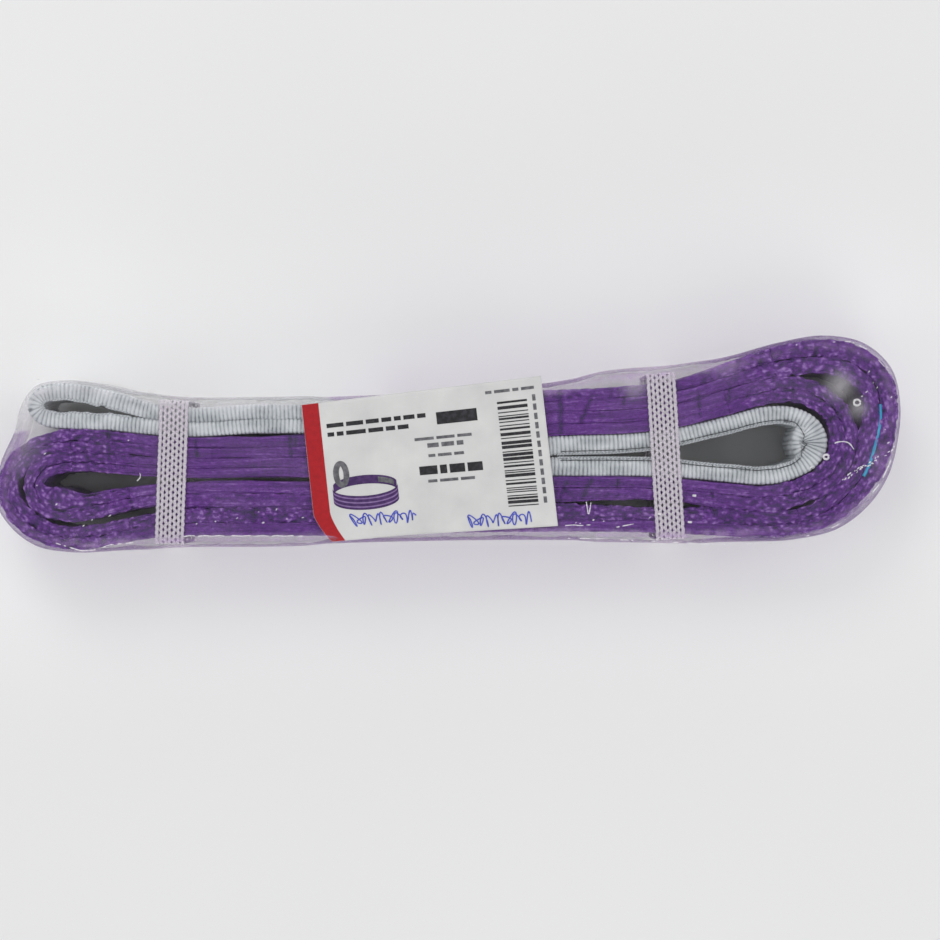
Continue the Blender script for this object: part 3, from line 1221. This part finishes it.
def film_cap(ring, outline):
    """The film over the roll: points in plan, how far each is from the rim, which point of the ring or
    of the grid inside it each came from, and faces."""
    low, high = outline.min(axis=0), outline.max(axis=0)
    grid_x = np.arange(low[0], high[0], FILM_STEP)
    grid_y = np.arange(low[1], high[1], FILM_STEP * 0.87)
    grid = np.array([(x + (j % 2) * FILM_STEP / 2, y) for j, y in enumerate(grid_y) for x in grid_x])
    grid = grid[inside_loop(grid, inset_loop(ring, 0.7))]
    far = [np.sqrt(((p - ring[::2]) ** 2).sum(axis=1)).min() for p in grid]
    n = len(ring)
    points = [Vector(p) for p in np.vstack([ring, grid])]
    edges = [(i, (i + 1) % n) for i in range(n)]
    places, _, faces, sources = delaunay_2d_cdt(points, edges, [list(range(n))], 1, 1e-7)[:4]
    source = [s[0] for s in sources]
    rim_distance = np.concatenate([np.zeros(n), far])[source]
    return np.array([p[:] for p in places]), rim_distance, source, faces


def build_film():
    outline = plan_outline("film_wall")
    if cross(outline, np.roll(outline, -1, axis=0)).sum() < 0:
        outline = outline[::-1]
    outline = evenly(np.vstack([outline, outline[:1]]), FILM_STEP)[:-1]
    count = len(outline)
    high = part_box("film_top_sheet")[0].z / MM
    *wall, (ring, _) = film_rows(outline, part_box("film_wall")[0].z / MM, high)
    plan, rim_distance, source, cap_faces = film_cap(ring, outline)
    blend = np.clip(rim_distance / 3.0, 0, 1)
    z_plan = film_top(plan, rim_distance) * blend + (high - 0.15) * (1 - blend)
    rows = len(wall)
    base = rows * count
    places = [np.column_stack([loop, np.full(count, height)]) for loop, height in wall]
    places = np.vstack(places + [np.column_stack([plan, z_plan])])
    where = {s: k for k, s in enumerate(source) if s < count}
    index = np.vstack([np.arange(base).reshape(rows, count), [base + where[i] for i in range(count)]])
    faces = quads(closed(index)) + [tuple(base + v for v in face) for face in cap_faces]
    skin = make_object("clear_film_over_the_roll", places * MM, faces, FILM)
    up_the_wall = np.repeat(np.arange(rows), count) / 3.0
    wall_bloom = 0.07 + 0.12 * LUMP(np.tile(np.arange(count) * FILM_STEP / 3.0, rows), up_the_wall)
    mark(skin, "bloom", np.concatenate([wall_bloom, film_bloom(plan, rim_distance)]))
    beside_eye = (places[:, 0] < -40) & (places[:, 1] > 4)
    near_rim = np.clip(1 - np.concatenate([np.zeros(base), rim_distance]) / 4.0, 0, 1)
    in_lobes = np.interp(places[:, 0], (-135, -120, 88, 104), (1.0, 0.5, 0.5, 1.0))
    mark(skin, "tinge", np.where(beside_eye, 0.0, near_rim * in_lobes))
    thicken = skin.modifiers.new("skin", "SOLIDIFY")
    thicken.thickness = FILM_THICK * MM
    thicken.offset = -1
    bpy.context.view_layer.objects.active = skin
    skin.select_set(True)
    bpy.ops.object.modifier_apply(modifier="skin")
    skin.select_set(False)
    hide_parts("film_wall", "film_top_sheet")
    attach(skin, "film")
    film_marks(plan, z_plan)
    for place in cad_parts["film_bottom_sheet"].material_slots:
        place.material = FILM


# ---------------------------------------------------------------- stage, light and camera
def outline_gap(plan, loop):
    """Distance from each point to a closed outline, less than nothing inside it."""
    along = np.roll(loop, -1, axis=0) - loop
    start = plan[:, None] - loop
    part = np.clip((start * along).sum(axis=2) / np.maximum((along**2).sum(axis=1), 1e-9), 0, 1)
    gap = np.linalg.norm(start - part[..., None] * along, axis=2).min(axis=1)
    return np.where(inside_loop(plan, loop), -gap, gap)


def build_stage():
    across = np.concatenate([[-3000.0], np.arange(-260.0, 261.0, 5.0), [3000.0]])
    up = np.concatenate([[-3000.0], np.arange(-180.0, 181.0, 5.0), [3000.0]])
    plan = np.array([(x, y) for y in up for x in across])
    low = cad_box[0][2] - 0.2 * MM
    faces = quads(np.arange(len(plan)).reshape(len(up), len(across)))
    floor = make_object("studio_floor", [(x * MM, y * MM, low) for x, y in plan], faces, FLOOR, smooth=False)
    gap = outline_gap(plan, plan_outline("film_wall"))
    spill = SPILL * np.exp(-((np.maximum(gap, 0) / SPILL_REACH) ** 2)) * np.clip((gap + 10) / 7, 0, 1)
    mark(floor, "spill", spill)
    for name, place, size, power in (
        ("soft_box_far", (-0.3, 0.75, 0.85), 0.5, 2.4),
        ("soft_box_near", (0.4, -0.8, 0.85), 0.5, 1.6),
        ("strip_left", (-0.8, -0.15, 0.75), 0.4, 0.9),
        ("strip_right", (0.9, 0.2, 0.75), 0.4, 0.9),
    ):
        lamp = bpy.data.lights.new(name, "AREA")
        lamp.size = size
        lamp.energy = power
        holder = bpy.data.objects.new(name, lamp)
        holder.location = place
        holder.rotation_euler = (Vector((0, 0, 0)) - Vector(place)).to_track_quat("-Z", "Y").to_euler()
        bpy.context.scene.collection.objects.link(holder)
    world = bpy.data.worlds.new("pale_room")
    world.use_nodes = True
    sky = world.node_tree
    height = add(sky, "SeparateXYZ", {"Vector": add(sky, "TexCoord").outputs["Generated"]}).outputs["Z"]
    glow = spread(sky, height, 0.1, 1.0, SKY_LOW, SKY_TOP)
    sky.links.new(glow, sky.nodes["Background"].inputs["Strength"])
    sky.nodes["Background"].inputs["Color"].default_value = (1, 1, 1, 1)
    bpy.context.scene.world = world
    bpy.context.scene.view_settings.view_transform = "Standard"

    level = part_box("core_run_outer_ply")[1].z
    camera = bpy.data.cameras.new("overhead")
    camera.sensor_width = 36.0
    camera.lens = 36.0 * CAMERA_HEIGHT / PICTURE_WIDE
    holder = bpy.data.objects.new("overhead", camera)
    holder.location = (PICTURE_MIDDLE[0] * MM, PICTURE_MIDDLE[1] * MM, level + CAMERA_HEIGHT * MM)
    bpy.context.scene.collection.objects.link(holder)
    bpy.context.scene.camera = holder


build_stage()
body_strips = build_webbing()
body_sewing(body_strips)
build_eyes()
build_tag()
build_band("left_tie_band", "left_band")
build_band("right_tie_band", "right_band")
build_label()
build_film()
